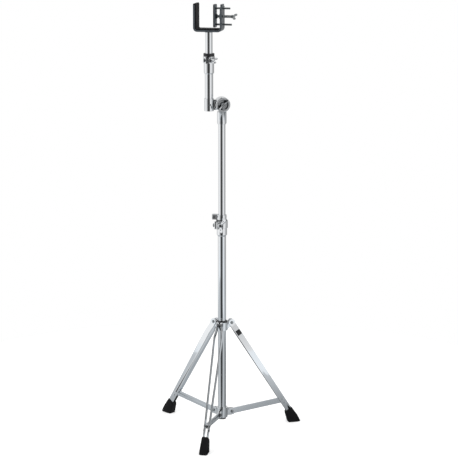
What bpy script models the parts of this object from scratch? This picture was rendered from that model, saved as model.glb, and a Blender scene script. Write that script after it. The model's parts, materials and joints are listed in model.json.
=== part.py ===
"""A stand that carries a pair of bongos: a folding tripod, a telescoping column, a disc tilter and a screw bracket.

Units are metres, +Z is up and the feet stand on z = 0. The front leg points along -Y. Every piece is built about
the column's axis, and the stand empty then shifts the whole so that the origin lies in the middle of its plan.
"""

import math

import bmesh
import bpy
from mathutils import Matrix, Vector

# Gaps between pieces
FACE_GAP = 0.0003
RUN_GAP = 0.0004

# Tripod
LEG_HEADINGS = {"front": -90, "right": 30, "left": 150}
LEG_PIVOT_RADIUS = 0.0295
LEG_PIVOT_HEIGHT = 0.343
LEG_ANGLE = 32.3
LEG_BRACE_DISTANCE = 0.3177
STRIP_WIDTH = 0.018
STRIP_THICKNESS = 0.0025
STRIP_HEAD_RADIUS = 0.0100
STRIP_BEND_START = 0.014
STRIP_BEND_END = 0.040
STRIP_SPREAD = 0.0120
STRIP_FOOT_OFFSET = 0.0052
STRIP_END_LIFT = 0.020
BRACE_PIVOT_RADIUS = 0.0313
BRACE_PIVOT_HEIGHT = 0.0537
BRACE_WIDTH = 0.018
BRACE_THICKNESS = 0.0032
BARREL_RADIUS = 0.0050
BARREL_GAP = 0.0006
PIVOT_PIN_RADIUS = 0.0030
RIVET_HEAD_RADIUS = 0.0048
RIVET_HEAD_HEIGHT = 0.0019
LOWER_RIVET_DROP = 0.0135

# Rubber feet, in sections square to the leg: height up the leg from the floor, then inner, outer and side reach
FOOT_SECTIONS = (
    (0.0508, 0.0108, 0.0106, 0.0092),
    (0.0490, 0.0124, 0.0112, 0.0104),
    (0.0435, 0.0160, 0.0115, 0.0108),
    (0.0180, 0.0230, 0.0126, 0.0120),
    (-0.0200, 0.0330, 0.0142, 0.0130),
)
FOOT_CORNER = 0.0040

# Column tubes
TUBE_WALL = 0.0012
BASE_TUBE_RADIUS = 0.0127
BASE_TUBE_BOTTOM = 0.036
BASE_TUBE_TOP = 0.668
BASE_SWELL_RADIUS = 0.0160
BASE_SWELL_LENGTH = 0.044
SWELL_TAPER = 0.006
MIDDLE_TUBE_RADIUS = 0.0111
MIDDLE_TUBE_LENGTH = 0.600
OFFSET_SWELL_RADIUS = 0.0156
OFFSET_SWELL_LENGTH = 0.0487
OFFSET_TUBE_TOP = 1.1710
TOP_ROD_LENGTH = 0.139
PLUG_LENGTH = 0.012
PLUG_RIM = 0.0030

# Hub and collar
HUB_RADIUS = 0.0175
HUB_BOTTOM = 0.039
HUB_HEIGHT = 0.031
HUB_EAR_THICKNESS = 0.0030
HUB_EAR_RADIUS = 0.0110
EAR_ROOT = 0.0155
COLLAR_BOTTOM = 0.3207
COLLAR_HEIGHT = 0.0252
COLLAR_EAR_RADIUS = 0.0082
COLLAR_EAR_INNER = 0.0022
COLLAR_EAR_THICKNESS = 0.0032
SLEEVE_WALL = 0.0014
SLEEVE_FLANGE_RADIUS = 0.0168
SLEEVE_FLANGE_HEIGHT = 0.0036
LOCK_BOSS_RADIUS = 0.0080
LOCK_BOSS_REACH = 0.0250
LOCK_BOLT_RADIUS = 0.0030

# Clamps, with the way their ears point and how far their wings are turned
CLAMP_WALL = 0.0020
BASE_CLAMP_HEIGHT = 0.0225
BASE_CLAMP_HEADING = -110
BASE_WING_TURN = 60
TOP_CLAMP_HEIGHT = 0.0188
TOP_CLAMP_HEADING = -84
TOP_WING_TURN = 12
CLAMP_DROP = 0.0005
STOP_LOCK_HEIGHT = 0.0155
STOP_LOCK_WALL = 0.0031
STOP_LOCK_HEADING = 178
STOP_SCREW_REACH = 0.0110
CLAMP_SLOT = 0.0040
CLAMP_EAR_THICKNESS = 0.0050
CLAMP_EAR_REACH = 0.0160
CLAMP_EAR_CORNER = 0.0020
CLAMP_BOLT_OUT = 0.0098
CLAMP_BOLT_RADIUS = 0.0030
CLAMP_HEAD_RADIUS = 0.0060
CLAMP_HEAD_HEIGHT = 0.0050

# Nylon bushings
BASE_BUSHING_LENGTH = 0.042
BASE_FLANGE_RADIUS = 0.0158
BASE_FLANGE_HEIGHT = 0.0012
TOP_BUSHING_LENGTH = 0.036
TOP_FLANGE_RADIUS = 0.0166
TOP_FLANGE_HEIGHT = 0.0080
FLANGE_CHAMFER = 0.0005

# Wings
WING_HUB_RADIUS = 0.0072
WING_NECK_RADIUS = 0.0052
WING_HUB_HEIGHT = 0.0130
WING_HALF_SPAN = 0.0220
WING_HEIGHT = 0.0203
WING_THICKNESS = 0.0036
WING_TIP_RADIUS = 0.0045
WING_WINDOW = ((0.0095, 0.0094), (0.0160, 0.0117), (0.0160, 0.0150))

# Tilter
TILT_HEIGHT = 1.0256
TILTER_YAW = 24
DISC_RADIUS = 0.0225
DISC_CHAMFER = 0.0015
FRONT_DISC_FACE = 0.0210
FRONT_DISC_BACK = 0.0090
RECESS_RADIUS = 0.0165
RECESS_DEPTH = 0.0075
ARM_DISC_BACK = 0.0085
ARM_OFFSET = 0.0390
ARM_INSET = 0.0004
ARM_TOP = 0.0145
ARM_BOTTOM = 0.0160
ARM_SOCKET_TOP = 0.0181
ARM_SOCKET_BOTTOM = 0.0196
ARM_SOCKET_WALL = 0.0015
ARM_SOCKET_FLOOR = 0.0030
POST_RADIUS = 0.0145
POST_TOP = 0.0232
POST_BOTTOM = 0.0610
POST_FLOOR = 0.0040
POST_TAPER = 0.0050
NECK_HALF_WIDTH = 0.0100
NECK_TOP = 0.0120
TILTER_BOLT_RADIUS = 0.0040
TILTER_HEAD_RADIUS = 0.0090
TILTER_HEAD_HEIGHT = 0.0045
TILTER_WING_TURN = 40
SET_SCREW_RADIUS = 0.0024
SET_SCREW_HEAD_RADIUS = 0.0034
SET_SCREW_HEAD_HEIGHT = 0.0020

# Bracket, with heights above its underside
BRACKET_BOTTOM = 1.2445
BRACKET_WIDTH = 0.0870
BRACKET_DEPTH = 0.0420
BRACKET_STEEL = 0.0055
BRACKET_CORNER = 0.0120
FIXED_ARM_HEIGHT = 0.0800
SCREW_ARM_HEIGHT = 0.0817
LINER_THICKNESS = 0.0035
JAW_FACE = 0.0162
JAW_BOTTOM = 0.0132
JAW_HEIGHT = 0.0680
JAW_DEPTH = 0.0280
JAW_CORNER = 0.0050
JAW_STEEL = 0.0030
JAW_PAD = 0.0023
SCREW_HEIGHT = 0.0455
SCREW_RADIUS = 0.0040
SCREW_TIP_RADIUS = 0.0030
SCREW_TIP_LENGTH = 0.0050
SCREW_WING_TURN = 112
SCREW_WING_SIZE = 0.72
SCREW_WING_SEAT = 0.0696
GUIDE_PIN_SPACING = 0.0240
GUIDE_PIN_RADIUS = 0.0030
UPPER_PIN_END = 0.0653
LOWER_PIN_END = 0.0699
BOSS_LENGTH = 0.0050
BOSS_BASE_RADIUS = 0.0095
BOSS_TOP_RADIUS = 0.0055
WELD_NUT_HEIGHT = 0.0048
WELD_NUT_RADIUS = 0.0080

# Facets of round pieces
ROUND = 32
SMALL_ROUND = 16

# Sizes worked out from the ones above
LEG_TILT = math.radians(LEG_ANGLE)
LEG_TO_FLOOR = LEG_PIVOT_HEIGHT / math.cos(LEG_TILT)
STRIP_END = LEG_TO_FLOOR - STRIP_END_LIFT
LEG_PIN_OUT = LEG_PIVOT_RADIUS + LEG_BRACE_DISTANCE * math.sin(LEG_TILT)
LEG_PIN_UP = LEG_PIVOT_HEIGHT - LEG_BRACE_DISTANCE * math.cos(LEG_TILT)
BRACE_LENGTH = math.hypot(LEG_PIN_OUT - BRACE_PIVOT_RADIUS, LEG_PIN_UP - BRACE_PIVOT_HEIGHT)
BRACE_RISE = math.atan2(LEG_PIN_UP - BRACE_PIVOT_HEIGHT, LEG_PIN_OUT - BRACE_PIVOT_RADIUS)
SLEEVE_OUTER = BASE_TUBE_RADIUS + RUN_GAP + SLEEVE_WALL
STRIP_PIVOT_OFFSET = COLLAR_EAR_INNER + COLLAR_EAR_THICKNESS + RUN_GAP + STRIP_THICKNESS / 2
CLAMP_SIDE = CLAMP_SLOT / 2 + CLAMP_EAR_THICKNESS
LINER_TOP = FIXED_ARM_HEIGHT + FACE_GAP + LINER_THICKNESS


def arc(centre_x, centre_y, radius, start, end, steps):
    """Points along an arc, with its two ends, from angles in degrees."""
    points = []
    for i in range(steps + 1):
        angle = math.radians(start + (end - start) * i / steps)
        points.append((centre_x + radius * math.cos(angle), centre_y + radius * math.sin(angle)))
    return points


def finish(name, colour, roughness, metallic):
    material = bpy.data.materials.new(name)
    material.use_nodes = True
    shader = material.node_tree.nodes["Principled BSDF"]
    shader.inputs["Base Color"].default_value = (*colour, 1)
    shader.inputs["Roughness"].default_value = roughness
    shader.inputs["Metallic"].default_value = metallic
    material.diffuse_color = (*colour, 1)
    return material


def empty(name, parent=None, location=(0, 0, 0), rotation=(0, 0, 0)):
    """A frame that pieces are parented to, such as one on a joint's axis. Rotation is in degrees."""
    frame = bpy.data.objects.new(name, None)
    frame.empty_display_size = 0.02
    frame.location = location
    frame.rotation_euler = [math.radians(angle) for angle in rotation]
    frame.parent = parent
    bpy.context.scene.collection.objects.link(frame)
    return frame


def turned(profile, axis="Z", segments=ROUND, centre=(0, 0, 0)):
    """A solid of revolution from (radius, height) points: a closed loop, or a line from axis to axis."""
    bm = bmesh.new()
    verts = [bm.verts.new((radius, 0, height)) for radius, height in profile]
    ends = verts[1:]
    if profile[0][0] or profile[-1][0]:
        ends = ends + verts[:1]
    edges = [bm.edges.new(pair) for pair in zip(verts, ends)]
    bmesh.ops.spin(bm, geom=verts + edges, axis=(0, 0, 1), cent=(0, 0, 0), angle=2 * math.pi, steps=segments)
    bmesh.ops.remove_doubles(bm, verts=bm.verts, dist=1e-6)
    if axis == "X":
        bm.transform(Matrix(((0, 0, 1, 0), (1, 0, 0, 0), (0, 1, 0, 0), (0, 0, 0, 1))))
    if axis == "Y":
        bm.transform(Matrix(((0, 1, 0, 0), (0, 0, 1, 0), (1, 0, 0, 0), (0, 0, 0, 1))))
    bmesh.ops.translate(bm, verts=bm.verts, vec=centre)
    bmesh.ops.recalc_face_normals(bm, faces=bm.faces)
    return bm


def rod(radius, low, high, axis="Z", segments=ROUND, centre=(0, 0, 0)):
    return turned(((0, high), (radius, high), (radius, low), (0, low)), axis, segments, centre)


def ring(inner, outer, low, high, axis="Z", segments=ROUND, centre=(0, 0, 0)):
    return turned(((outer, high), (outer, low), (inner, low), (inner, high)), axis, segments, centre)


def extruded(outline, low, high, axis="Z"):
    """A flat outline given depth along an axis. Its points are X-Y for Z, X-Z for Y and Y-Z for X."""
    place = {
        "X": lambda a, b, t: (t, a, b),
        "Y": lambda a, b, t: (a, t, b),
        "Z": lambda a, b, t: (a, b, t),
    }[axis]
    bm = bmesh.new()
    face = bm.faces.new([bm.verts.new(place(a, b, low)) for a, b in outline])
    new = bmesh.ops.extrude_face_region(bm, geom=[face])["geom"]
    moved = [item for item in new if isinstance(item, bmesh.types.BMVert)]
    bmesh.ops.translate(bm, verts=moved, vec=place(0, 0, high - low))
    bmesh.ops.recalc_face_normals(bm, faces=bm.faces)
    return bm


def block(low, high):
    outline = ((low[0], low[1]), (high[0], low[1]), (high[0], high[1]), (low[0], high[1]))
    return extruded(outline, low[2], high[2])


def rounded(half_width, low, high, corner):
    """The outline of an upright rounded rectangle."""
    right, left = half_width - corner, corner - half_width
    outline = arc(right, high - corner, corner, 0, 90, 4) + arc(left, high - corner, corner, 90, 180, 4)
    return outline + arc(left, low + corner, corner, 180, 270, 4) + arc(right, low + corner, corner, 270, 360, 4)


def mesh_of(bm):
    mesh = bpy.data.meshes.new("solid")
    bm.to_mesh(mesh)
    bm.free()
    return mesh


def carved(base, joined=(), cut=()):
    """One mesh from a base solid, with the joined solids added to it and then the cutters taken out."""
    linked = bpy.context.scene.collection.objects
    host = bpy.data.objects.new("host", mesh_of(base))
    linked.link(host)
    helpers = []
    for operation, solids in (("UNION", joined), ("DIFFERENCE", cut)):
        for solid in solids:
            helper = bpy.data.objects.new("helper", mesh_of(solid))
            linked.link(helper)
            helpers.append(helper)
            modifier = host.modifiers.new(operation.title(), "BOOLEAN")
            modifier.operation = operation
            modifier.object = helper
    graph = bpy.context.evaluated_depsgraph_get()
    mesh = bpy.data.meshes.new_from_object(host.evaluated_get(graph))
    for item in (host, *helpers):
        bpy.data.objects.remove(item)
    return mesh


def piece(name, shape, material, parent):
    """Places a finished shape under its frame as one named sub-part."""
    mesh = shape if isinstance(shape, bpy.types.Mesh) else mesh_of(shape)
    mesh.name = name
    mesh.materials.clear()
    mesh.materials.append(material)
    mesh.shade_smooth()
    mesh.set_sharp_from_angle(angle=math.radians(32))
    part = bpy.data.objects.new(name, mesh)
    part.parent = parent
    bpy.context.scene.collection.objects.link(part)
    return part


def headed(bm, heading):
    """Turns a shape made towards +X to a heading about the column."""
    bm.transform(Matrix.Rotation(math.radians(heading), 4, "Z"))
    return bm


def tube(radius, bottom, top, swell_radius=None, swell_length=0):
    """A tube with its wall, whose top end may be swelled to take a bushing."""
    inner = radius - TUBE_WALL
    if swell_radius is None:
        return ring(inner, radius, bottom, top)
    start = top - swell_length
    step = swell_radius - radius
    profile = (
        (swell_radius, top),
        (swell_radius, start),
        (radius, start - SWELL_TAPER),
        (radius, bottom),
        (inner, bottom),
        (inner, start - SWELL_TAPER),
        (inner + step, start),
        (inner + step, top),
    )
    return turned(profile)


def bushing(bore, outer, length, flange_radius, flange_height):
    """A nylon sleeve that hangs from the flange on top of it, which starts at z = 0."""
    profile = (
        (flange_radius - FLANGE_CHAMFER, flange_height),
        (flange_radius, flange_height - FLANGE_CHAMFER),
        (flange_radius, 0),
        (outer, 0),
        (outer, -length),
        (bore, -length),
        (bore, flange_height),
    )
    return turned(profile)


def split_band(bore, wall, height):
    """A band that is split on +X, where its two ears stand out and a bolt's hole runs through them."""
    outer = bore + wall
    gap = CLAMP_SLOT / 2
    end = outer + CLAMP_EAR_REACH
    side = CLAMP_SIDE
    corner = CLAMP_EAR_CORNER
    inner_angle = math.degrees(math.asin(gap / bore))
    outer_angle = math.degrees(math.asin(side / outer))
    outline = [(end, gap), *arc(0, 0, bore, inner_angle, 360 - inner_angle, ROUND), (end, -gap)]
    outline += [(end, corner - side), (end - corner, -side)]
    outline += arc(0, 0, outer, 360 - outer_angle, outer_angle, ROUND)
    outline += [(end - corner, side), (end, side - corner)]
    hole_centre = (outer + CLAMP_BOLT_OUT, 0, height / 2)
    hole = rod(CLAMP_BOLT_RADIUS + FACE_GAP, -2 * side, 2 * side, "Y", SMALL_ROUND, hole_centre)
    return carved(extruded(outline, 0, height), cut=[hole])


def clamp_bolt(reach):
    """A bolt along Y through a clamp's ears, with its head on the -Y side."""
    seat = CLAMP_SIDE + FACE_GAP
    profile = (
        (0, reach),
        (CLAMP_BOLT_RADIUS, reach),
        (CLAMP_BOLT_RADIUS, -seat),
        (CLAMP_HEAD_RADIUS, -seat),
        (CLAMP_HEAD_RADIUS, -seat - CLAMP_HEAD_HEIGHT * 0.7),
        (CLAMP_HEAD_RADIUS * 0.75, -seat - CLAMP_HEAD_HEIGHT),
        (0, -seat - CLAMP_HEAD_HEIGHT),
    )
    return turned(profile, "Y", SMALL_ROUND)


def wing(turn=0, bore_radius=0, shank=(), size=1):
    """A wing nut or wing screw along +Z. Its seat is at z = 0, and a screw's (radius, length) steps run down."""
    profile = [
        (0, WING_HUB_HEIGHT),
        (WING_NECK_RADIUS * 0.75, WING_HUB_HEIGHT),
        (WING_NECK_RADIUS, WING_HUB_HEIGHT - 0.0015),
        (WING_HUB_RADIUS, 0.0030),
        (WING_HUB_RADIUS, 0),
    ]
    profile = [(radius * size, height * size) for radius, height in profile]
    depth = 0
    for radius, length in shank:
        profile += [(radius, -depth), (radius, -depth - length)]
        depth += length
    profile.append((0, -depth))
    tip_height = WING_HEIGHT - WING_TIP_RADIUS
    lobe = [
        (0, 0.0040),
        (WING_NECK_RADIUS, 0.0050),
        (WING_HALF_SPAN * 0.90, 0.0095),
        *arc(WING_HALF_SPAN - WING_TIP_RADIUS, tip_height, WING_TIP_RADIUS, -35, 125, 5),
        (WING_NECK_RADIUS, 0.0112),
        (0, 0.0105),
    ]
    lobe = [(x * size, z * size) for x, z in lobe]
    blade = lobe + [(-x, z) for x, z in lobe[-2:0:-1]]
    cuts = []
    for side in (1, -1):
        window = [(side * x * size, z * size) for x, z in WING_WINDOW]
        cuts.append(extruded(window, -WING_THICKNESS, WING_THICKNESS, "Y"))
    if bore_radius:
        cuts.append(rod(bore_radius, -WING_HUB_HEIGHT, 2 * WING_HUB_HEIGHT, segments=SMALL_ROUND))
    plate = extruded(blade, -WING_THICKNESS / 2, WING_THICKNESS / 2, "Y")
    mesh = carved(turned(profile, segments=SMALL_ROUND), joined=[plate], cut=cuts)
    mesh.transform(Matrix.Rotation(math.radians(turn), 4, "Z"))
    return mesh


def strip_offset(distance):
    """How far the middle of a leg strip stands off the leg's plane, at a distance down the leg."""
    if distance <= STRIP_BEND_START:
        return STRIP_PIVOT_OFFSET
    if distance <= STRIP_BEND_END:
        share = (distance - STRIP_BEND_START) / (STRIP_BEND_END - STRIP_BEND_START)
        return STRIP_PIVOT_OFFSET + share * (STRIP_SPREAD - STRIP_PIVOT_OFFSET)
    share = (distance - STRIP_BEND_END) / (STRIP_END - STRIP_BEND_END)
    return STRIP_SPREAD + share * (STRIP_FOOT_OFFSET - STRIP_SPREAD)


def leg_strip(side):
    """A flat bar that runs down the leg along +X, bowed out from its pivot and drawn in towards the foot."""
    half = STRIP_WIDTH / 2
    neck = math.degrees(math.asin(half / STRIP_HEAD_RADIUS))
    head = arc(0, 0, STRIP_HEAD_RADIUS, neck, 360 - neck, 14)
    bm = extruded([(STRIP_END, half), *head, (STRIP_END, -half)], -STRIP_THICKNESS / 2, STRIP_THICKNESS / 2, "Y")
    for bend in (STRIP_BEND_START, STRIP_BEND_END):
        geometry = bm.verts[:] + bm.edges[:] + bm.faces[:]
        bmesh.ops.bisect_plane(bm, geom=geometry, plane_co=(bend, 0, 0), plane_no=(1, 0, 0))
    for vert in bm.verts:
        vert.co.y += side * strip_offset(vert.co.x)
    rivets = []
    for distance in (LEG_BRACE_DISTANCE, LEG_BRACE_DISTANCE + LOWER_RIVET_DROP):
        middle = strip_offset(distance)
        top = middle + STRIP_THICKNESS / 2 + RIVET_HEAD_HEIGHT
        rivets.append(rod(RIVET_HEAD_RADIUS, *sorted((side * middle, side * top)), "Y", SMALL_ROUND, (distance, 0, 0)))
    hole = rod(PIVOT_PIN_RADIUS + FACE_GAP, -2 * STRIP_SPREAD, 2 * STRIP_SPREAD, "Y", SMALL_ROUND)
    return carved(bm, joined=rivets, cut=[hole])


def foot_section(height, inner, outer, side):
    """A rounded rectangle square to the leg, as points down the leg, across it and outwards."""
    points = []
    corners = ((side, outer), (-side, outer), (-side, -inner), (side, -inner))
    for quarter, (across, out) in enumerate(corners):
        centre_y = across - math.copysign(FOOT_CORNER, across)
        centre_z = out - math.copysign(FOOT_CORNER, out)
        for y, z in arc(centre_y, centre_z, FOOT_CORNER, 90 * quarter, 90 * quarter + 90, 3):
            points.append((LEG_TO_FLOOR - height, y, z))
    return points


def foot():
    """A rubber boot lofted down the leg, cut flat on the floor, with a pocket for the two strips' ends."""
    bm = bmesh.new()
    loops = [[bm.verts.new(point) for point in foot_section(*section)] for section in FOOT_SECTIONS]
    for upper, lower in zip(loops, loops[1:]):
        for i, corner in enumerate(upper):
            bm.faces.new((corner, upper[i - 1], lower[i - 1], lower[i]))
    bm.faces.new(loops[0])
    bm.faces.new(loops[-1])
    bmesh.ops.recalc_face_normals(bm, faces=bm.faces)
    down = Vector((math.cos(LEG_TILT), 0, -math.sin(LEG_TILT)))
    geometry = bm.verts[:] + bm.edges[:] + bm.faces[:]
    cut = bmesh.ops.bisect_plane(bm, geom=geometry, plane_co=(LEG_TO_FLOOR, 0, 0), plane_no=down, clear_outer=True)
    rim = [item for item in cut["geom_cut"] if isinstance(item, bmesh.types.BMEdge)]
    bmesh.ops.contextual_create(bm, geom=rim)
    bmesh.ops.recalc_face_normals(bm, faces=bm.faces)
    top = LEG_TO_FLOOR - FOOT_SECTIONS[0][0]
    half_side = strip_offset(top) + STRIP_THICKNESS / 2 + FACE_GAP
    half_width = STRIP_WIDTH / 2 + FACE_GAP
    pocket = block((top - half_width, -half_side, -half_width), (STRIP_END + FACE_GAP, half_side, half_width))
    return carved(bm, cut=[pocket])


def brace():
    """A flat bar along +X between its two pivots, with a barrel at the leg's end that spaces the strips."""
    half = BRACE_WIDTH / 2
    outline = arc(0, 0, half, 90, 270, 8) + arc(BRACE_LENGTH, 0, half, -90, 90, 8)
    inside = strip_offset(LEG_BRACE_DISTANCE) - STRIP_THICKNESS / 2 - BARREL_GAP
    barrel = rod(BARREL_RADIUS, -inside, inside, "Y", SMALL_ROUND, (BRACE_LENGTH, 0, 0))
    hole = rod(PIVOT_PIN_RADIUS + FACE_GAP, -BRACE_WIDTH, BRACE_WIDTH, "Y", SMALL_ROUND)
    bar = extruded(outline, -BRACE_THICKNESS / 2, BRACE_THICKNESS / 2, "Y")
    return carved(bar, joined=[barrel], cut=[hole])


def pivot_pin(half_grip):
    """A rivet along Y through a yoke, with a domed head on each side."""
    shoulder = half_grip + FACE_GAP
    top = shoulder + RIVET_HEAD_HEIGHT
    upper = [
        (RIVET_HEAD_RADIUS * 0.6, top),
        (RIVET_HEAD_RADIUS, shoulder + RIVET_HEAD_HEIGHT * 0.4),
        (RIVET_HEAD_RADIUS, shoulder),
        (PIVOT_PIN_RADIUS, shoulder),
    ]
    lower = [(radius, -height) for radius, height in reversed(upper)]
    return turned([(0, top), *upper, *lower, (0, -top)], "Y", SMALL_ROUND)


def yoke_ears(inner, thickness, pivot, radius, root_low, root_high):
    """Both plates of each of the three yokes: from the ring out to a round end about the pivot."""
    outline = [(EAR_ROOT, root_high), (EAR_ROOT, root_low), *arc(*pivot, radius, -90, 90, 8)]
    ears = []
    for heading in LEG_HEADINGS.values():
        for side in (1, -1):
            ends = sorted((side * inner, side * (inner + thickness)))
            ears.append(headed(extruded(outline, *ends, "Y"), heading))
    return ears


def pin_holes(pivot_out, pivot_up):
    radius = PIVOT_PIN_RADIUS + FACE_GAP
    centre = (pivot_out, 0, pivot_up)
    return [
        headed(rod(radius, -HUB_RADIUS, HUB_RADIUS, "Y", SMALL_ROUND, centre), heading)
        for heading in LEG_HEADINGS.values()
    ]


def build_clamp(name, parent, bottom, heading, tube_radius, height, wing_turn, finishes):
    """A split clamp round a swelled tube end, with its bolt, and its wing nut on a frame of its own."""
    frame = empty(f"{name}_frame", parent, (0, 0, bottom), (0, 0, heading))
    bore = tube_radius + FACE_GAP
    piece(name, split_band(bore, CLAMP_WALL, height), finishes["casting"], frame)
    bolt_out = bore + CLAMP_WALL + CLAMP_BOLT_OUT
    seat = CLAMP_SIDE + FACE_GAP
    bolt = piece(f"{name}_bolt", clamp_bolt(seat + WING_HUB_HEIGHT * 0.9), finishes["steel"], frame)
    bolt.location = (bolt_out, 0, height / 2)
    turn = empty(f"{name}_wing_turn", frame, (bolt_out, seat, height / 2), (-90, 0, 0))
    piece(f"{name}_wing", wing(wing_turn, CLAMP_BOLT_RADIUS + FACE_GAP), finishes["casting"], turn)


def build_column(stand, finishes):
    """The fixed pieces: the base tube with its plug, lower hub and height clamp."""
    base = tube(BASE_TUBE_RADIUS, BASE_TUBE_BOTTOM, BASE_TUBE_TOP, BASE_SWELL_RADIUS, BASE_SWELL_LENGTH)
    piece("base_tube", base, finishes["chrome"], stand)
    inside = BASE_TUBE_RADIUS - TUBE_WALL - FACE_GAP
    rim = BASE_TUBE_BOTTOM - FACE_GAP
    plug = (
        (0, rim + PLUG_LENGTH),
        (inside, rim + PLUG_LENGTH),
        (inside, rim),
        (BASE_TUBE_RADIUS, rim),
        (BASE_TUBE_RADIUS, rim - PLUG_RIM),
        (0, rim - PLUG_RIM),
    )
    piece("base_plug", turned(plug), finishes["nylon"], stand)

    ear_inner = BRACE_THICKNESS / 2 + RUN_GAP
    pivot = (BRACE_PIVOT_RADIUS, BRACE_PIVOT_HEIGHT)
    ears = yoke_ears(ear_inner, HUB_EAR_THICKNESS, pivot, HUB_EAR_RADIUS,
                     BRACE_PIVOT_HEIGHT - HUB_EAR_RADIUS, BRACE_PIVOT_HEIGHT + HUB_EAR_RADIUS)
    hub = ring(BASE_TUBE_RADIUS + FACE_GAP, HUB_RADIUS, HUB_BOTTOM, HUB_BOTTOM + HUB_HEIGHT)
    piece("lower_hub", carved(hub, joined=ears, cut=pin_holes(*pivot)), finishes["casting"], stand)
    for name, heading in LEG_HEADINGS.items():
        yoke = empty(f"hub_yoke_{name}", stand, rotation=(0, 0, heading))
        pin = piece(f"hub_pin_{name}", pivot_pin(ear_inner + HUB_EAR_THICKNESS), finishes["steel"], yoke)
        pin.location = (BRACE_PIVOT_RADIUS, 0, BRACE_PIVOT_HEIGHT)
        hinge = empty(f"brace_{name}_hinge", yoke, pin.location, (0, -math.degrees(BRACE_RISE), 0))
        piece(f"brace_{name}", brace(), finishes["zinc"], hinge)

    bottom = BASE_TUBE_TOP - BASE_CLAMP_HEIGHT - CLAMP_DROP
    build_clamp("base_clamp", stand, bottom, BASE_CLAMP_HEADING, BASE_SWELL_RADIUS, BASE_CLAMP_HEIGHT,
                BASE_WING_TURN, finishes)


def build_collar(stand, finishes):
    """The leg collar on its nylon sleeve, with its lock bolt, its pivot pins and the three legs."""
    slide = empty("collar_slide", stand, (0, 0, LEG_PIVOT_HEIGHT))
    bottom = COLLAR_BOTTOM - LEG_PIVOT_HEIGHT
    top = bottom + COLLAR_HEIGHT
    middle = (bottom + top) / 2
    pivot = (LEG_PIVOT_RADIUS, 0)
    ears = yoke_ears(COLLAR_EAR_INNER, COLLAR_EAR_THICKNESS, pivot, COLLAR_EAR_RADIUS, bottom, top - FACE_GAP)
    boss = rod(LOCK_BOSS_RADIUS, SLEEVE_OUTER + 2 * FACE_GAP, LOCK_BOSS_REACH, "Y", SMALL_ROUND, (0, 0, middle))
    bolt_hole = rod(LOCK_BOLT_RADIUS + FACE_GAP, 0, 2 * LOCK_BOSS_REACH, "Y", SMALL_ROUND, (0, 0, middle))
    collar = ring(SLEEVE_OUTER + FACE_GAP, HUB_RADIUS, bottom, top)
    shape = carved(collar, joined=[*ears, boss], cut=[*pin_holes(*pivot), bolt_hole])
    piece("leg_collar", shape, finishes["casting"], slide)
    sleeve = bushing(BASE_TUBE_RADIUS + RUN_GAP, SLEEVE_OUTER, COLLAR_HEIGHT, SLEEVE_FLANGE_RADIUS,
                     SLEEVE_FLANGE_HEIGHT)
    piece("collar_sleeve", sleeve, finishes["nylon"], slide).location = (0, 0, top + FACE_GAP)

    seat = LOCK_BOSS_REACH + FACE_GAP
    turn = empty("collar_bolt_turn", slide, (0, seat, middle), (-90, 0, 0))
    shank = ((LOCK_BOLT_RADIUS, seat - SLEEVE_OUTER - 2 * FACE_GAP),)
    piece("collar_wing_bolt", wing(90, shank=shank), finishes["casting"], turn)

    half_grip = STRIP_PIVOT_OFFSET + STRIP_THICKNESS / 2
    for name, heading in LEG_HEADINGS.items():
        yoke = empty(f"collar_yoke_{name}", slide, rotation=(0, 0, heading))
        pin = piece(f"collar_pin_{name}", pivot_pin(half_grip), finishes["steel"], yoke)
        pin.location = (LEG_PIVOT_RADIUS, 0, 0)
        hinge = empty(f"leg_{name}_hinge", yoke, pin.location, (0, 90 - LEG_ANGLE, 0))
        piece(f"leg_{name}_strip_a", leg_strip(1), finishes["chrome"], hinge)
        piece(f"leg_{name}_strip_b", leg_strip(-1), finishes["chrome"], hinge)
        piece(f"foot_{name}", foot(), finishes["rubber"], hinge)


def build_middle(stand, finishes):
    """The middle tube in its bushing, with the stop lock round it. Returns the tube's frame."""
    turn = empty("middle_turn", stand, (0, 0, BASE_TUBE_TOP + FACE_GAP))
    outer = BASE_SWELL_RADIUS - TUBE_WALL - FACE_GAP
    sleeve = bushing(MIDDLE_TUBE_RADIUS + RUN_GAP, outer, BASE_BUSHING_LENGTH, BASE_FLANGE_RADIUS,
                     BASE_FLANGE_HEIGHT)
    piece("base_bushing", sleeve, finishes["nylon"], turn)

    slide = empty("middle_slide", turn)
    tube_top = TILT_HEIGHT - POST_TOP - POST_FLOOR - BASE_TUBE_TOP - 2 * FACE_GAP
    piece("middle_tube", tube(MIDDLE_TUBE_RADIUS, tube_top - MIDDLE_TUBE_LENGTH, tube_top), finishes["chrome"], slide)

    lock = empty("stop_lock_slide", slide, (0, 0, BASE_FLANGE_HEIGHT + FACE_GAP), (0, 0, STOP_LOCK_HEADING))
    lock_bore = MIDDLE_TUBE_RADIUS + FACE_GAP
    piece("stop_lock", split_band(lock_bore, STOP_LOCK_WALL, STOP_LOCK_HEIGHT), finishes["casting"], lock)
    screw = piece("stop_lock_screw", clamp_bolt(STOP_SCREW_REACH), finishes["steel"], lock)
    screw.location = (lock_bore + STOP_LOCK_WALL + CLAMP_BOLT_OUT, 0, STOP_LOCK_HEIGHT / 2)
    return slide


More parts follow.
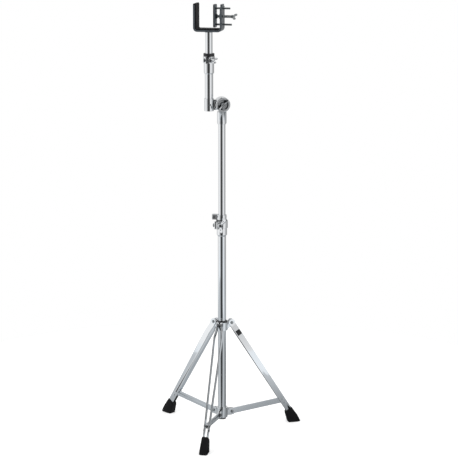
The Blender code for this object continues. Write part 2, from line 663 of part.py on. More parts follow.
def tilter_socket():
    """The lower casting: a post on the middle tube, with the recessed front disc that a neck joins to it."""
    bolt_hole = TILTER_BOLT_RADIUS + FACE_GAP
    tube_hole = MIDDLE_TUBE_RADIUS + FACE_GAP
    recess_floor = FRONT_DISC_FACE - RECESS_DEPTH
    front_disc = (
        (DISC_RADIUS - DISC_CHAMFER, -FRONT_DISC_FACE),
        (DISC_RADIUS, DISC_CHAMFER - FRONT_DISC_FACE),
        (DISC_RADIUS, -FRONT_DISC_BACK),
        (bolt_hole, -FRONT_DISC_BACK),
        (bolt_hole, -recess_floor),
        (RECESS_RADIUS, -recess_floor),
        (RECESS_RADIUS, -FRONT_DISC_FACE),
    )
    post = (
        (0, -POST_TOP),
        (POST_RADIUS, -POST_TOP),
        (POST_RADIUS, POST_TAPER - POST_BOTTOM),
        (POST_RADIUS - DISC_CHAMFER, -POST_BOTTOM),
        (tube_hole, -POST_BOTTOM),
        (tube_hole, -POST_TOP - POST_FLOOR),
        (0, -POST_TOP - POST_FLOOR),
    )
    neck_low = (-NECK_HALF_WIDTH, -POST_RADIUS, -POST_TOP - POST_FLOOR / 2)
    neck = block(neck_low, (NECK_HALF_WIDTH, -FRONT_DISC_BACK, -NECK_TOP))
    return carved(turned(post), joined=[neck, turned(front_disc, "Y")])


def tilter_arm():
    """The upper casting: the back disc, and an arm to the socket of the offset tube."""
    tube_bore = BASE_TUBE_RADIUS + FACE_GAP
    centre = (-ARM_OFFSET, 0, 0)
    disc = rod(DISC_RADIUS, FACE_GAP - FRONT_DISC_BACK, ARM_DISC_BACK, "Y")
    side = ARM_DISC_BACK - ARM_INSET
    arm = block((-ARM_OFFSET, -side, -ARM_BOTTOM), (0, side, ARM_TOP))
    holder = rod(tube_bore + ARM_SOCKET_WALL, -ARM_SOCKET_BOTTOM, ARM_SOCKET_TOP, centre=centre)
    cuts = [
        rod(tube_bore, ARM_SOCKET_FLOOR - ARM_SOCKET_BOTTOM, 2 * ARM_SOCKET_TOP, centre=centre),
        rod(TILTER_BOLT_RADIUS + FACE_GAP, -DISC_RADIUS, DISC_RADIUS, "Y", SMALL_ROUND),
        rod(SET_SCREW_RADIUS + FACE_GAP, -DISC_RADIUS, 0, "Y", SMALL_ROUND, centre),
    ]
    return carved(disc, joined=[arm, holder], cut=cuts)


def build_tilter(slide, finishes):
    """Both castings of the tilter with their bolt and wing, and the offset tube. Returns the tube's frame."""
    level = TILT_HEIGHT - BASE_TUBE_TOP - FACE_GAP
    yaw = empty("tilter_yaw", slide, (0, 0, level), (0, 0, TILTER_YAW))
    piece("tilter_socket", tilter_socket(), finishes["casting"], yaw)
    tilt = empty("tilt", yaw)
    piece("tilter_arm", tilter_arm(), finishes["casting"], tilt)

    head = ARM_DISC_BACK + FACE_GAP
    seat = FRONT_DISC_FACE - RECESS_DEPTH + FACE_GAP
    bolt_end = seat + WING_HUB_HEIGHT * 0.9
    bolt = (
        (0, head + TILTER_HEAD_HEIGHT),
        (TILTER_HEAD_RADIUS * 0.7, head + TILTER_HEAD_HEIGHT),
        (TILTER_HEAD_RADIUS, head + TILTER_HEAD_HEIGHT * 0.5),
        (TILTER_HEAD_RADIUS, head),
        (TILTER_BOLT_RADIUS, head),
        (TILTER_BOLT_RADIUS, -bolt_end),
        (0, -bolt_end),
    )
    piece("tilter_bolt", turned(bolt, "Y", SMALL_ROUND), finishes["steel"], tilt)
    turn = empty("tilter_wing_turn", tilt, (0, -seat, 0), (90, 0, 0))
    piece("tilter_wing", wing(TILTER_WING_TURN, TILTER_BOLT_RADIUS + FACE_GAP), finishes["casting"], turn)

    inside = BASE_TUBE_RADIUS + FACE_GAP
    outside = inside + ARM_SOCKET_WALL + FACE_GAP
    screw = (
        (0, -inside),
        (SET_SCREW_RADIUS, -inside),
        (SET_SCREW_RADIUS, -outside),
        (SET_SCREW_HEAD_RADIUS, -outside),
        (SET_SCREW_HEAD_RADIUS, -outside - SET_SCREW_HEAD_HEIGHT),
        (0, -outside - SET_SCREW_HEAD_HEIGHT),
    )
    shape = turned(screw, "Y", SMALL_ROUND, (-ARM_OFFSET, 0, 0))
    piece("arm_set_screw", shape, finishes["steel"], tilt)

    offset = empty("offset_axis", tilt, (-ARM_OFFSET, 0, 0), (0, 0, -TILTER_YAW))
    bottom = ARM_SOCKET_FLOOR - ARM_SOCKET_BOTTOM + FACE_GAP
    top = OFFSET_TUBE_TOP - TILT_HEIGHT
    upper = tube(BASE_TUBE_RADIUS, bottom, top, OFFSET_SWELL_RADIUS, OFFSET_SWELL_LENGTH)
    piece("offset_tube", upper, finishes["chrome"], offset)
    build_clamp("top_clamp", offset, top - TOP_CLAMP_HEIGHT - CLAMP_DROP, TOP_CLAMP_HEADING,
                OFFSET_SWELL_RADIUS, TOP_CLAMP_HEIGHT, TOP_WING_TURN, finishes)
    return offset


def bracket_outline():
    """The bent steel's section: a U whose corners keep its thickness."""
    half = BRACKET_WIDTH / 2
    inner = half - BRACKET_STEEL
    bend = BRACKET_CORNER - BRACKET_STEEL
    turn = half - BRACKET_CORNER
    outline = [(-half, FIXED_ARM_HEIGHT), *arc(-turn, BRACKET_CORNER, BRACKET_CORNER, 180, 270, 6)]
    outline += [*arc(turn, BRACKET_CORNER, BRACKET_CORNER, 270, 360, 6), (half, SCREW_ARM_HEIGHT)]
    outline += [(inner, SCREW_ARM_HEIGHT), *arc(turn, BRACKET_CORNER, bend, 360, 270, 6)]
    outline += [*arc(-turn, BRACKET_CORNER, bend, 270, 180, 6), (-inner, FIXED_ARM_HEIGHT)]
    return outline


def liner_outline():
    """The rubber's section: a cap over the fixed arm, down its inner face and along the floor."""
    half = BRACKET_WIDTH / 2
    back = BRACKET_STEEL + FACE_GAP
    front = back + LINER_THICKNESS
    turn = half - BRACKET_CORNER
    arm_top = FIXED_ARM_HEIGHT + FACE_GAP
    cap = LINER_THICKNESS - FACE_GAP
    outline = [(-half, arm_top), (back - half, arm_top)]
    outline += arc(-turn, BRACKET_CORNER, BRACKET_CORNER - back, 180, 270, 5)
    outline += [(turn, back), (turn, front)]
    outline += arc(-turn, BRACKET_CORNER, BRACKET_CORNER - front, 270, 180, 5)
    outline += arc(front - half - cap, LINER_TOP - cap, cap, 0, 90, 4)
    outline += arc(cap - half, LINER_TOP - cap, cap, 90, 180, 4)
    return outline


def build_bracket(offset, finishes):
    """The bracket on its rod, which turns and slides in the top bushing. Returns the bracket's frame."""
    turn = empty("top_turn", offset, (0, 0, OFFSET_TUBE_TOP - TILT_HEIGHT + FACE_GAP))
    outer = OFFSET_SWELL_RADIUS - TUBE_WALL - FACE_GAP
    sleeve = bushing(MIDDLE_TUBE_RADIUS + RUN_GAP, outer, TOP_BUSHING_LENGTH, TOP_FLANGE_RADIUS,
                     TOP_FLANGE_HEIGHT)
    piece("top_bushing", sleeve, finishes["nylon"], turn)

    slide = empty("top_slide", turn, (0, 0, BRACKET_BOTTOM - OFFSET_TUBE_TOP - FACE_GAP))
    piece("top_rod", tube(MIDDLE_TUBE_RADIUS, -TOP_ROD_LENGTH, -FACE_GAP), finishes["chrome"], slide)
    half_depth = BRACKET_DEPTH / 2
    holes = [(SCREW_RADIUS, 0), (GUIDE_PIN_RADIUS, GUIDE_PIN_SPACING), (GUIDE_PIN_RADIUS, -GUIDE_PIN_SPACING)]
    cuts = [
        rod(radius + RUN_GAP, 0, BRACKET_WIDTH, "X", SMALL_ROUND, (0, 0, SCREW_HEIGHT + rise))
        for radius, rise in holes
    ]
    shape = carved(extruded(bracket_outline(), -half_depth, half_depth, "Y"), cut=cuts)
    piece("bracket", shape, finishes["painted"], slide)
    piece("bracket_pad", extruded(liner_outline(), -half_depth, half_depth, "Y"), finishes["rubber"], slide)
    face = BRACKET_WIDTH / 2 - BRACKET_STEEL - FACE_GAP
    nut = ring(SCREW_RADIUS + RUN_GAP, WELD_NUT_RADIUS, face - WELD_NUT_HEIGHT, face, "X", SMALL_ROUND,
               (0, 0, SCREW_HEIGHT))
    piece("weld_nut", nut, finishes["steel"], slide)
    return slide


def build_jaw(slide, finishes):
    """The moving jaw with its pad and guide pins, and the screw that turns in its boss."""
    jaw = empty("jaw_slide", slide)
    face = JAW_FACE + JAW_PAD + FACE_GAP
    back = face + JAW_STEEL
    centre = (0, 0, SCREW_HEIGHT)
    outline = rounded(JAW_DEPTH / 2, JAW_BOTTOM, JAW_BOTTOM + JAW_HEIGHT, JAW_CORNER)
    boss_profile = (
        (0, face + JAW_STEEL / 2),
        (BOSS_BASE_RADIUS, face + JAW_STEEL / 2),
        (BOSS_BASE_RADIUS, back),
        (BOSS_TOP_RADIUS, back + BOSS_LENGTH),
        (0, back + BOSS_LENGTH),
    )
    boss = turned(boss_profile, "X", SMALL_ROUND, centre)
    tip_hole = rod(SCREW_TIP_RADIUS + FACE_GAP, back, back + 2 * BOSS_LENGTH, "X", SMALL_ROUND, centre)
    plate = carved(extruded(outline, face, back, "X"), joined=[boss], cut=[tip_hole])
    piece("jaw_plate", plate, finishes["painted"], jaw)
    piece("jaw_pad", extruded(outline, JAW_FACE, JAW_FACE + JAW_PAD, "X"), finishes["rubber"], jaw)
    for name, side, end in (("upper", 1, UPPER_PIN_END), ("lower", -1, LOWER_PIN_END)):
        height = SCREW_HEIGHT + side * GUIDE_PIN_SPACING
        pin = rod(GUIDE_PIN_RADIUS, back + FACE_GAP, end, "X", SMALL_ROUND, (0, 0, height))
        piece(f"guide_pin_{name}", pin, finishes["steel"], jaw)

    turn = empty("jaw_screw_turn", jaw, (SCREW_WING_SEAT, 0, SCREW_HEIGHT), (0, 90, 0))
    reach = SCREW_WING_SEAT - back - FACE_GAP
    shank = ((SCREW_RADIUS, reach - SCREW_TIP_LENGTH), (SCREW_TIP_RADIUS, SCREW_TIP_LENGTH))
    piece("jaw_screw", wing(SCREW_WING_TURN, shank=shank, size=SCREW_WING_SIZE), finishes["steel"], turn)


def centre_plan(stand):
    """Shifts the stand along Y so that the origin is midway between the front foot and the rear feet."""
    bpy.context.view_layer.update()
    feet = [bpy.data.objects[f"foot_{name}"] for name in LEG_HEADINGS]
    depths = [(item.matrix_world @ vert.co).y for item in feet for vert in item.data.vertices]
    stand.location.y = -(min(depths) + max(depths)) / 2


def main():
    for item in list(bpy.data.objects):
        bpy.data.objects.remove(item)
    finishes = {
        "chrome": finish("chrome", (0.82, 0.84, 0.86), 0.10, 1.0),
        "casting": finish("chromed casting", (0.74, 0.76, 0.78), 0.22, 1.0),
        "zinc": finish("plated strip", (0.62, 0.65, 0.68), 0.30, 1.0),
        "steel": finish("screw steel", (0.35, 0.37, 0.38), 0.35, 1.0),
        "painted": finish("dark bracket", (0.16, 0.18, 0.20), 0.40, 0.6),
        "nylon": finish("black nylon", (0.02, 0.02, 0.022), 0.45, 0.0),
        "rubber": finish("black rubber", (0.012, 0.012, 0.014), 0.60, 0.0),
    }
    stand = empty("stand")
    build_column(stand, finishes)
    build_collar(stand, finishes)
    middle = build_middle(stand, finishes)
    offset = build_tilter(middle, finishes)
    bracket = build_bracket(offset, finishes)
    build_jaw(bracket, finishes)
    centre_plan(stand)


main()
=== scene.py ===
import json
import math

import bmesh
import bpy
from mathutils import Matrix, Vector

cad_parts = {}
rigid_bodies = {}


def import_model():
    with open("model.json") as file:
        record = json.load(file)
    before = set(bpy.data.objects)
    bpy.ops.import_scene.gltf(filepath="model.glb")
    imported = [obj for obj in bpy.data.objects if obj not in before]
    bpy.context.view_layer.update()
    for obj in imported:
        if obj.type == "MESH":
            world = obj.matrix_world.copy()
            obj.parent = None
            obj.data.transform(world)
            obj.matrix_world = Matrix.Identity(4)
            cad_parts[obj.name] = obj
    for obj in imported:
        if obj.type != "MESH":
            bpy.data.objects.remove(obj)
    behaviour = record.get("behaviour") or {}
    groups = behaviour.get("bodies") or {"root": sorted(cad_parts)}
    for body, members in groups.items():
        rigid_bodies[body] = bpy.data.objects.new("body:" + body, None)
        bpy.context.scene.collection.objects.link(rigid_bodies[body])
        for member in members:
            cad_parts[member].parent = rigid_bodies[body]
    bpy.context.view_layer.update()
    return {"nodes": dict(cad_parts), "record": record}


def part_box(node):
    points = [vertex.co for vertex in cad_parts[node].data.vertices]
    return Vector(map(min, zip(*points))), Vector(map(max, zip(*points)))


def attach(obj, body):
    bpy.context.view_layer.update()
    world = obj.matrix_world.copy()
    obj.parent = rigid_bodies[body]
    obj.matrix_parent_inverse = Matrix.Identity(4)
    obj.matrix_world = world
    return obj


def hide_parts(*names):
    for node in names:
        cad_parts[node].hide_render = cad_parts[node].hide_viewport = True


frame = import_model()
nodes = frame["nodes"]
bodyOf = {node: body for body, members in frame["record"]["behaviour"]["bodies"].items() for node in members}
slotOf = {entry["node"]: entry["material_slot"] for entry in frame["record"]["subparts"]}
linked = bpy.context.scene.collection.objects
print("frame loaded", len(nodes))

# The column's axis and the offset tube's axis, in the model's frame
columnAt = (0.0, 0.061)
offsetAt = (-0.03563, 0.04513)


# Shader sockets that can be added and multiplied
class Field:
    def __init__(self, tree, socket):
        self.tree = tree
        self.socket = socket

    def combined(self, operation, first, second):
        node = self.tree.nodes.new("ShaderNodeMath")
        node.operation = operation
        feed(self.tree, first, node.inputs[0])
        feed(self.tree, second, node.inputs[1])
        return Field(self.tree, node.outputs[0])

    def __add__(self, other):
        return self.combined("ADD", self, other)

    def __radd__(self, other):
        return self.combined("ADD", other, self)

    def __sub__(self, other):
        return self.combined("SUBTRACT", self, other)

    def __rsub__(self, other):
        return self.combined("SUBTRACT", other, self)

    def __mul__(self, other):
        return self.combined("MULTIPLY", self, other)

    def __rmul__(self, other):
        return self.combined("MULTIPLY", other, self)

    def ramp(self, stops):
        node = self.tree.nodes.new("ShaderNodeValToRGB")
        elements = node.color_ramp.elements
        while len(elements) < len(stops):
            elements.new(0.5)
        for element, (place, value) in zip(elements, stops):
            element.position = place
            element.color = (value, value, value, 1)
        self.tree.links.new(self.socket, node.inputs["Fac"])
        return Field(self.tree, node.outputs["Color"])


def feed(tree, value, target):
    if isinstance(value, Field):
        tree.links.new(value.socket, target)
    else:
        target.default_value = value


def noiseField(tree, coords, scale, detail, stretch=(1, 1, 1)):
    mapping = tree.nodes.new("ShaderNodeMapping")
    mapping.inputs["Scale"].default_value = stretch
    tree.links.new(coords, mapping.inputs["Vector"])
    noise = tree.nodes.new("ShaderNodeTexNoise")
    noise.inputs["Scale"].default_value = scale
    noise.inputs["Detail"].default_value = detail
    tree.links.new(mapping.outputs["Vector"], noise.inputs["Vector"])
    return Field(tree, noise.outputs["Fac"])


def blended(tree, factor, first, second):
    node = tree.nodes.new("ShaderNodeMix")
    node.data_type = "RGBA"
    feed(tree, factor, node.inputs["Factor"])
    colours = [item for item in node.inputs if item.type == "RGBA"]
    colours[0].default_value = (*first, 1)
    colours[1].default_value = (*second, 1)
    return next(item for item in node.outputs if item.type == "RGBA")


# Painted shade: darkens a colour in hollows that ambient occlusion finds, where chrome mostly mirrors itself
def paintHollowShade(tree, colour, reach, dark):
    hollowShade = tree.nodes.new("ShaderNodeAmbientOcclusion")
    hollowShade.samples = 8
    hollowShade.inputs["Distance"].default_value = reach
    node = tree.nodes.new("ShaderNodeMix")
    node.data_type = "RGBA"
    feed(tree, Field(tree, hollowShade.outputs["AO"]).ramp(((0.30, 0.0), (0.72, 1.0))), node.inputs["Factor"])
    colours = [item for item in node.inputs if item.type == "RGBA"]
    colours[0].default_value = (*dark, 1)
    tree.links.new(colour, colours[1])
    return next(item for item in node.outputs if item.type == "RGBA")


def makeMaterial(name, look):
    material = bpy.data.materials.new(name)
    material.use_nodes = True
    tree = material.node_tree
    shader = tree.nodes["Principled BSDF"]
    coords = tree.nodes.new("ShaderNodeTexCoord").outputs["Object"]
    tone = noiseField(tree, coords, look["toneScale"], 3)
    grain = noiseField(tree, coords, look["grainScale"], 4, look.get("stretch", (1, 1, 1)))
    smudge = noiseField(tree, coords, smudges["scale"], smudges["detail"]).ramp(smudges["stops"])
    colour = blended(tree, tone, look["dark"], look["light"])
    # Painted shade: for the looks that ask for it, the base colour is darkened in hollows
    if "hollowShade" in look:
        colour = paintHollowShade(tree, colour, look["hollowShade"], look["hollowShadeTone"])
    tree.links.new(colour, shader.inputs["Base Color"])
    rough = look["roughness"] + (grain - 0.5) * look["roughSpread"] + smudge * look["smudge"]
    feed(tree, rough, shader.inputs["Roughness"])
    shader.inputs["Metallic"].default_value = look["metallic"]
    shader.inputs["Specular IOR Level"].default_value = look.get("shine", 0.5)
    rounding = tree.nodes.new("ShaderNodeBevel")
    rounding.samples = 4
    rounding.inputs["Radius"].default_value = look["edge"]
    bump = tree.nodes.new("ShaderNodeBump")
    bump.inputs["Strength"].default_value = look["bump"]
    bump.inputs["Distance"].default_value = look["relief"]
    feed(tree, grain, bump.inputs["Height"])
    tree.links.new(rounding.outputs["Normal"], bump.inputs["Normal"])
    tree.links.new(bump.outputs["Normal"], shader.inputs["Normal"])
    material.diffuse_color = (*look["light"], 1)
    return material


# Smudges that all finishes share, and the materials, one for each slot of the record
smudges = {"scale": 28, "detail": 5, "stops": ((0.45, 0.0), (0.75, 1.0))}
looks = {
    "chrome_tube": {
        "dark": (0.80, 0.82, 0.84), "light": (0.88, 0.90, 0.92), "metallic": 1.0, "roughness": 0.055,
        "roughSpread": 0.03, "smudge": 0.05, "toneScale": 9, "grainScale": 400, "stretch": (1, 1, 0.15),
        "bump": 0.10, "relief": 0.00002, "edge": 0.0004,
    },
    "chrome_casting": {
        "dark": (0.74, 0.76, 0.78), "light": (0.86, 0.88, 0.90), "metallic": 1.0, "roughness": 0.075,
        "roughSpread": 0.03, "smudge": 0.04, "toneScale": 40, "grainScale": 160, "bump": 0.12,
        # Painted shade: the reach of the shade painted into the casting's hollows, and its dark tone
        "relief": 0.00008, "edge": 0.0009, "hollowShade": 0.014, "hollowShadeTone": (0.05, 0.06, 0.075),
    },
    "plated_strip": {
        "dark": (0.78, 0.81, 0.84), "light": (0.86, 0.89, 0.92), "metallic": 1.0, "roughness": 0.15,
        "roughSpread": 0.06, "smudge": 0.05, "toneScale": 30, "grainScale": 500, "bump": 0.20,
        "relief": 0.00004, "edge": 0.0005,
    },
    "screw_steel": {
        "dark": (0.30, 0.32, 0.33), "light": (0.44, 0.46, 0.47), "metallic": 1.0, "roughness": 0.27,
        "roughSpread": 0.12, "smudge": 0.08, "toneScale": 60, "grainScale": 350, "bump": 0.25,
        "relief": 0.00005, "edge": 0.0006,
    },
    "dark_paint": {
        "dark": (0.085, 0.100, 0.115), "light": (0.13, 0.15, 0.17), "metallic": 0.55, "roughness": 0.34,
        "roughSpread": 0.14, "smudge": 0.10, "toneScale": 45, "grainScale": 420, "bump": 0.35,
        "relief": 0.00010, "edge": 0.0012,
    },
    "black_nylon": {
        "dark": (0.010, 0.010, 0.012), "light": (0.022, 0.022, 0.024), "metallic": 0.0, "roughness": 0.42,
        "roughSpread": 0.14, "smudge": 0.06, "toneScale": 50, "grainScale": 600, "bump": 0.30,
        "relief": 0.00006, "edge": 0.0006,
    },
    "black_rubber": {
        "dark": (0.003, 0.003, 0.004), "light": (0.008, 0.008, 0.009), "metallic": 0.0, "roughness": 0.58,
        "roughSpread": 0.16, "smudge": 0.10, "toneScale": 35, "grainScale": 700, "bump": 0.45,
        "relief": 0.00012, "edge": 0.0014, "shine": 0.22,
    },
}
materials = {slot: makeMaterial(slot, look) for slot, look in looks.items()}
print("materials made", len(materials))


# Helpers that build and place pieces
def smoothed(mesh, angle=32):
    mesh.shade_smooth()
    mesh.set_sharp_from_angle(angle=math.radians(angle))


def place(name, mesh, slot, body, replaced=()):
    piece = bpy.data.objects.new(name, mesh)
    mesh.materials.clear()
    mesh.materials.append(materials[slot])
    linked.link(piece)
    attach(piece, body)
    if replaced:
        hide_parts(*replaced)
    return piece


def meshFrom(bm, name, angle=32):
    bmesh.ops.recalc_face_normals(bm, faces=bm.faces)
    mesh = bpy.data.meshes.new(name)
    bm.to_mesh(mesh)
    bm.free()
    smoothed(mesh, angle)
    return mesh


def lathed(name, profile, centre, segments=96):
    bm = bmesh.new()
    verts = [bm.verts.new((centre[0] + radius, centre[1], height)) for radius, height in profile]
    edges = [bm.edges.new(pair) for pair in zip(verts, verts[1:] + verts[:1])]
    bmesh.ops.spin(
        bm, geom=verts + edges, axis=(0, 0, 1), cent=(*centre, 0), angle=2 * math.pi, steps=segments
    )
    bmesh.ops.remove_doubles(bm, verts=bm.verts, dist=1e-6)
    return meshFrom(bm, name, 40)


def lip(radius, height, size, start):
    points = []
    for step in range(5):
        angle = math.radians(start + 22.5 * step)
        points.append((radius + size * math.cos(angle), height + size * math.sin(angle)))
    return points


# Tubes, finer than the frame's, with rounded rims
tubes = {
    "base_tube": {"radius": 0.0127, "swell": 0.0160, "swellLength": 0.044, "centre": columnAt},
    "middle_tube": {"radius": 0.0111, "swell": 0.0111, "swellLength": 0.0, "centre": columnAt},
    "offset_tube": {"radius": 0.0127, "swell": 0.0156, "swellLength": 0.0487, "centre": offsetAt},
    "top_rod": {"radius": 0.0111, "swell": 0.0111, "swellLength": 0.0, "centre": offsetAt},
}
for name, tube in tubes.items():
    low, high = (corner.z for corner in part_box(name))
    wall, rim, taper = 0.0012, 0.00045, 0.006
    radius, swell = tube["radius"], tube["swell"]
    profile = [*reversed(lip(radius - rim, low + rim, rim, -90)), *[(radius - wall, low)]]
    if swell > radius:
        start = high - tube["swellLength"]
        inside = [(radius - wall, start - taper), (swell - wall, start), (swell - wall, high)]
        outside = [(swell, start)]
        for step in range(1, 6):
            share = step / 6
            ease = share * share * (3 - 2 * share)
            outside.append((swell + (radius - swell) * ease, start - taper * share))
        outside.append((radius, start - taper))
    else:
        inside = [(radius - wall, high)]
        outside = []
    profile += [*inside, *reversed(lip(swell - rim, high - rim, rim, 0)), *outside]
    place(f"{name}_fine", lathed(name, profile, tube["centre"]), slotOf[name], bodyOf[name], (name,))
print("tubes made", len(tubes))


# A foot's toe, drawn in and blunted, and the rounded corners of the bracket's arms
toe = {"start": 0.2526, "share": 0.62, "round": 0.0026}
armRound = {"bracket": 0.008, "bracket_pad": 0.009}
headings = {"foot_front": -90, "foot_right": 30, "foot_left": 150}


def bluntToe(bm, heading):
    ahead = Vector((math.cos(math.radians(heading)), math.sin(math.radians(heading)), 0))
    origin = Vector((*columnAt, 0))
    tip = []
    for vert in bm.verts:
        out = (vert.co - origin).dot(ahead)
        if out > toe["start"]:
            vert.co -= ahead * (out - toe["start"]) * (1 - toe["share"])
            tip.append(vert)
    low = [edge for edge in bm.edges if all(v in tip and v.co.z < 0.001 for v in edge.verts)]
    bmesh.ops.bevel(bm, geom=low, offset=toe["round"], segments=3, affect="EDGES", clamp_overlap=True)


def roundArms(bm, radius):
    top = max(vert.co.z for vert in bm.verts)
    corners = []
    for edge in bm.edges:
        first, second = (vert.co for vert in edge.verts)
        level = min(first.z, second.z) > top - 0.0006
        if level and abs(first.y - second.y) < 0.0002 and abs(first.x - second.x) > 0.001:
            corners.append(edge)
    bmesh.ops.bevel(bm, geom=corners, offset=radius, segments=5, affect="EDGES", clamp_overlap=True)


# Every other solid, welded and shaded smooth between its sharp edges
def dressed(name):
    bm = bmesh.new()
    bm.from_mesh(nodes[name].data)
    bmesh.ops.remove_doubles(bm, verts=bm.verts, dist=1e-6)
    flat = [edge for edge in bm.edges if len(edge.link_faces) == 2 and edge.calc_face_angle(1) < 0.002]
    bmesh.ops.dissolve_edges(bm, edges=flat, use_verts=False)
    if name in headings:
        bluntToe(bm, headings[name])
    if name in armRound:
        roundArms(bm, armRound[name])
    return place(f"{name}_fine", meshFrom(bm, name), slotOf[name], bodyOf[name], (name,))


for name in sorted(nodes):
    if name not in tubes:
        dressed(name)
print("solids dressed", len(nodes) - len(tubes))

# The thread on the jaw screw, between the jaw's boss and the wing
thread = {
    "start": 0.0275, "end": 0.0690, "pitch": 0.00125, "root": 0.0038, "crest": 0.00432, "height": 1.29,
}
bm = bmesh.new()
around, rows = 16, int((thread["end"] - thread["start"]) / thread["pitch"] * 5)
rings = []
for row in range(rows + 1):
    along = thread["start"] + (thread["end"] - thread["start"]) * row / rows
    ring = []
    for step in range(around):
        phase = (along / thread["pitch"] - step / around) % 1
        rise = 1 - abs(2 * phase - 1)
        fade = min(1, (rows - row) / 6, row / 6)
        radius = thread["root"] + (thread["crest"] - thread["root"]) * rise * fade
        angle = 2 * math.pi * step / around
        spot = (
            offsetAt[0] + along,
            offsetAt[1] + radius * math.cos(angle),
            thread["height"] + radius * math.sin(angle),
        )
        ring.append(bm.verts.new(spot))
    rings.append(ring)
for near, far in zip(rings, rings[1:]):
    for step in range(around):
        bm.faces.new((near[step - 1], near[step], far[step], far[step - 1]))
bm.faces.new(rings[0])
bm.faces.new(rings[-1])
place("jaw_screw_thread", meshFrom(bm, "thread", 60), "screw_steel", "screw")

# The weld bead between the bracket and its rod
weld = {"ring": 0.0116, "size": 0.0011, "height": 1.2431}
bm = bmesh.new()
loops = []
for step in range(72):
    angle = 2 * math.pi * step / 72
    swell = weld["size"] * (1 + 0.16 * math.sin(step * 2.1) + 0.10 * math.sin(step * 0.7))
    loop = []
    for turn in range(8):
        tilt = 2 * math.pi * turn / 8
        out = weld["ring"] + swell * math.cos(tilt)
        spot = (
            offsetAt[0] + out * math.cos(angle),
            offsetAt[1] + out * math.sin(angle),
            weld["height"] + swell * math.sin(tilt),
        )
        loop.append(bm.verts.new(spot))
    loops.append(loop)
for i, loop in enumerate(loops):
    for turn in range(8):
        bm.faces.new((loops[i - 1][turn - 1], loops[i - 1][turn], loop[turn], loop[turn - 1]))
place("bracket_weld", meshFrom(bm, "weld", 60), "screw_steel", "bracket_body")
print("thread and weld made")


# Small rivets that close the hub's yokes, on both plates of each
def legPoint(heading, out, side, height):
    angle = math.radians(heading)
    x = columnAt[0] + out * math.cos(angle) - side * math.sin(angle)
    y = columnAt[1] + out * math.sin(angle) + side * math.cos(angle)
    return Vector((x, y, height))


rivet = {"out": 0.0205, "height": 0.0625, "radius": 0.0021, "rise": 0.0011, "face": 0.0050}
for legName, heading in {"front": -90, "right": 30, "left": 150}.items():
    bm = bmesh.new()
    for side in (1, -1):
        rims = []
        for level in range(5):
            lift = math.radians(18 * level)
            rim = []
            for step in range(16):
                angle = 2 * math.pi * step / 16
                reach = rivet["radius"] * math.cos(lift)
                off = side * (rivet["face"] - 0.0002 + rivet["rise"] * math.sin(lift))
                out = rivet["out"] + reach * math.cos(angle)
                up = rivet["height"] + reach * math.sin(angle)
                spot = legPoint(heading, out, off, up)
                rim.append(bm.verts.new(spot))
            rims.append(rim)
        for lower, upper in zip(rims, rims[1:]):
            for step in range(16):
                bm.faces.new((lower[step - 1], lower[step], upper[step], upper[step - 1]))
        bm.faces.new(rims[0])
        bm.faces.new(rims[-1])
    place(f"hub_rivet_{legName}", meshFrom(bm, "rivet", 50), "screw_steel", "column")

# A bare black patch on the right leg's nearer strip, which follows the strip's bend
patch = {"start": 0.0300, "bend": 0.0400, "end": 0.0473, "low": -0.0070, "high": 0.0078, "thick": 0.00018}
leg = {"angle": 32.3, "pivotOut": 0.0295, "pivotUp": 0.343, "half": 0.00125, "near": 0.0071, "spread": 0.0120}


def stripFace(along):
    share = min(1, (along - 0.014) / (0.040 - 0.014))
    taper = max(0, along - 0.040) / (0.3858 - 0.040) * (0.0120 - 0.0052)
    return leg["near"] - 0.00005 + share * (leg["spread"] - leg["near"]) - taper + leg["half"]


bm = bmesh.new()
tilt = math.radians(leg["angle"])
grid = []
for along in (patch["start"], 0.0333, 0.0367, patch["bend"], 0.0437, patch["end"]):
    for lift in (0.00004, 0.00004 + patch["thick"]):
        for across in (patch["low"], patch["high"]):
            out = leg["pivotOut"] + along * math.sin(tilt) + across * math.cos(tilt)
            up = leg["pivotUp"] - along * math.cos(tilt) + across * math.sin(tilt)
            grid.append(bm.verts.new(legPoint(30, out, -(stripFace(along) + lift), up)))
for row in range(5):
    a, b = grid[4 * row: 4 * row + 4], grid[4 * row + 4: 4 * row + 8]
    for first, second in ((0, 1), (1, 3), (3, 2), (2, 0)):
        bm.faces.new((a[first], a[second], b[second], b[first]))
bm.faces.new((grid[0], grid[1], grid[3], grid[2]))
bm.faces.new((grid[20], grid[21], grid[23], grid[22]))
place("leg_patch", meshFrom(bm, "patch"), "black_nylon", bodyOf["leg_right_strip_b"])
print("rivets and patch made")

# The studio's brightness by its angle from the camera's side, as chrome shows it on the floor and round about
studio = (
    (-180, 0.78), (-125, 0.72), (-100, 0.95), (-76, 1.00), (-55, 0.75), (-42, 0.40), (-24, 0.07),
    (-12, 0.035), (6, 0.045), (16, 0.12), (25, 0.50), (33, 0.97), (44, 1.00), (60, 0.82), (78, 0.60),
    (105, 0.42), (125, 0.34), (150, 0.50), (180, 0.78),
)
cameraFit = {
    "azimuth": 13.08, "distance": 5.072, "height": 1.760, "side": 0.0217, "level": 0.640, "lens": 133.4,
}
turn = math.radians(cameraFit["azimuth"])


def panelsAround(tree, vector):
    split = tree.nodes.new("ShaderNodeSeparateXYZ")
    tree.links.new(vector, split.inputs["Vector"])
    x, y = Field(tree, split.outputs["X"]), Field(tree, split.outputs["Y"])
    along = x * math.sin(turn) - y * math.cos(turn)
    across = x * math.cos(turn) + y * math.sin(turn)
    heading = across.combined("ARCTAN2", across, along) * (1 / (2 * math.pi)) + 0.5
    return heading.ramp([(angle / 360 + 0.5, value) for angle, value in studio])


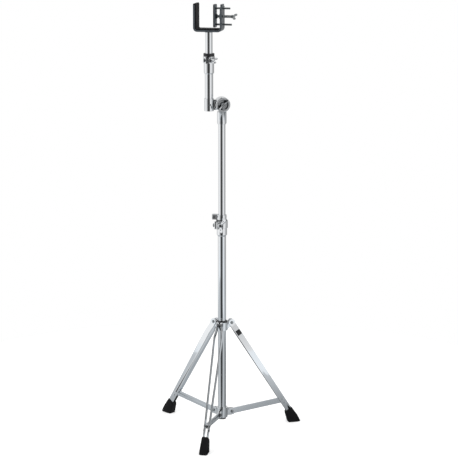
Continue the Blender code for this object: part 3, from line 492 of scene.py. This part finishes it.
# Floor: white to the camera, with the object's shadow, and a dimmer card in it that the legs' chrome mirrors
floorSize = {"reach": 1.3, "drop": 0.0004, "sides": 96}
rim = [2 * math.pi * step / floorSize["sides"] for step in range(floorSize["sides"])]
floorMesh = bpy.data.meshes.new("floor")
floorMesh.from_pydata(
    [(floorSize["reach"] * math.cos(a), floorSize["reach"] * math.sin(a), -floorSize["drop"]) for a in rim],
    [], [tuple(range(floorSize["sides"]))],
)
floor = bpy.data.objects.new("floor", floorMesh)
linked.link(floor)
floorMaterial = bpy.data.materials.new("floor")
floorMaterial.use_nodes = True
tree = floorMaterial.node_tree
shader = tree.nodes["Principled BSDF"]
coords = tree.nodes.new("ShaderNodeTexCoord").outputs["Object"]
tree.links.new(
    blended(tree, noiseField(tree, coords, 3, 2), (0.93, 0.93, 0.93), (0.96, 0.96, 0.96)),
    shader.inputs["Base Color"],
)
shader.inputs["Roughness"].default_value = 0.9
shader.inputs["Specular IOR Level"].default_value = 0.1
path = tree.nodes.new("ShaderNodeLightPath")
seen = Field(tree, path.outputs["Is Camera Ray"])
mirrored = Field(tree, path.outputs["Is Glossy Ray"])
glow = tree.nodes.new("ShaderNodeEmission")
feed(tree, seen * 0.38, glow.inputs["Strength"])
panels = tree.nodes.new("ShaderNodeEmission")
panels.inputs["Color"].default_value = (0.93, 0.97, 1.0, 1)
card = {"centre": -0.2, "reach": 0.85, "tone": 0.66, "soft": 0.01}
edge = card["reach"] ** 2 / 2
split = tree.nodes.new("ShaderNodeSeparateXYZ")
tree.links.new(coords, split.inputs["Vector"])
x, y = Field(tree, split.outputs["X"]) - card["centre"], Field(tree, split.outputs["Y"])
onCard = ((x * x + y * y) * 0.5).ramp(((edge, card["tone"]), (edge + card["soft"], 1.0)))
feed(tree, panelsAround(tree, coords) * onCard, panels.inputs["Strength"])
total = tree.nodes.new("ShaderNodeAddShader")
chooser = tree.nodes.new("ShaderNodeMixShader")
tree.links.new(shader.outputs["BSDF"], total.inputs[0])
tree.links.new(glow.outputs["Emission"], total.inputs[1])
tree.links.new(mirrored.socket, chooser.inputs["Fac"])
tree.links.new(total.outputs["Shader"], chooser.inputs[1])
tree.links.new(panels.outputs["Emission"], chooser.inputs[2])
tree.links.new(chooser.outputs["Shader"], tree.nodes["Material Output"].inputs["Surface"])
floorMesh.materials.append(floorMaterial)

# Camera, as fitted to the photograph
spot = Vector((
    columnAt[0] + cameraFit["distance"] * math.sin(turn),
    columnAt[1] - cameraFit["distance"] * math.cos(turn),
    cameraFit["height"],
))
target = Vector((
    columnAt[0] + cameraFit["side"] * math.cos(turn),
    columnAt[1] + cameraFit["side"] * math.sin(turn),
    cameraFit["level"],
))
cameraData = bpy.data.cameras.new("camera")
cameraData.sensor_width = 36
cameraData.lens = cameraFit["lens"]
camera = bpy.data.objects.new("camera", cameraData)
camera.location = spot
camera.rotation_euler = (target - spot).to_track_quat("-Z", "Y").to_euler()
linked.link(camera)
bpy.context.scene.camera = camera


# Soft lamps, and a studio round the object that its chrome reflects
def lamp(name, place, size, power):
    data = bpy.data.lights.new(name, "AREA")
    data.size = size
    data.energy = power
    item = bpy.data.objects.new(name, data)
    item.location = place
    item.rotation_euler = (Vector((0, 0.06, 0.6)) - Vector(place)).to_track_quat("-Z", "Y").to_euler()
    item.visible_glossy = False
    linked.link(item)


lamp("key", (-1.8, -2.6, 3.2), 2.4, 55)
lamp("fill", (2.8, -1.6, 2.2), 2.2, 22)
lamp("back", (0.6, 3.0, 2.6), 2.2, 18)

world = bpy.data.worlds.new("studio")
world.use_nodes = True
bpy.context.scene.world = world
tree = world.node_tree
panels = panelsAround(tree, tree.nodes.new("ShaderNodeTexCoord").outputs["Generated"])
path = tree.nodes.new("ShaderNodeLightPath")
seen = Field(tree, path.outputs["Is Camera Ray"])
glossy = Field(tree, path.outputs["Is Glossy Ray"])
level = seen + glossy * panels + (1 - seen) * (1 - glossy) * 0.62
background = tree.nodes["Background"]
background.inputs["Color"].default_value = (1, 1, 1, 1)
feed(tree, level, background.inputs["Strength"])
print("camera and lights made")

bpy.context.scene.view_settings.view_transform = "Standard"
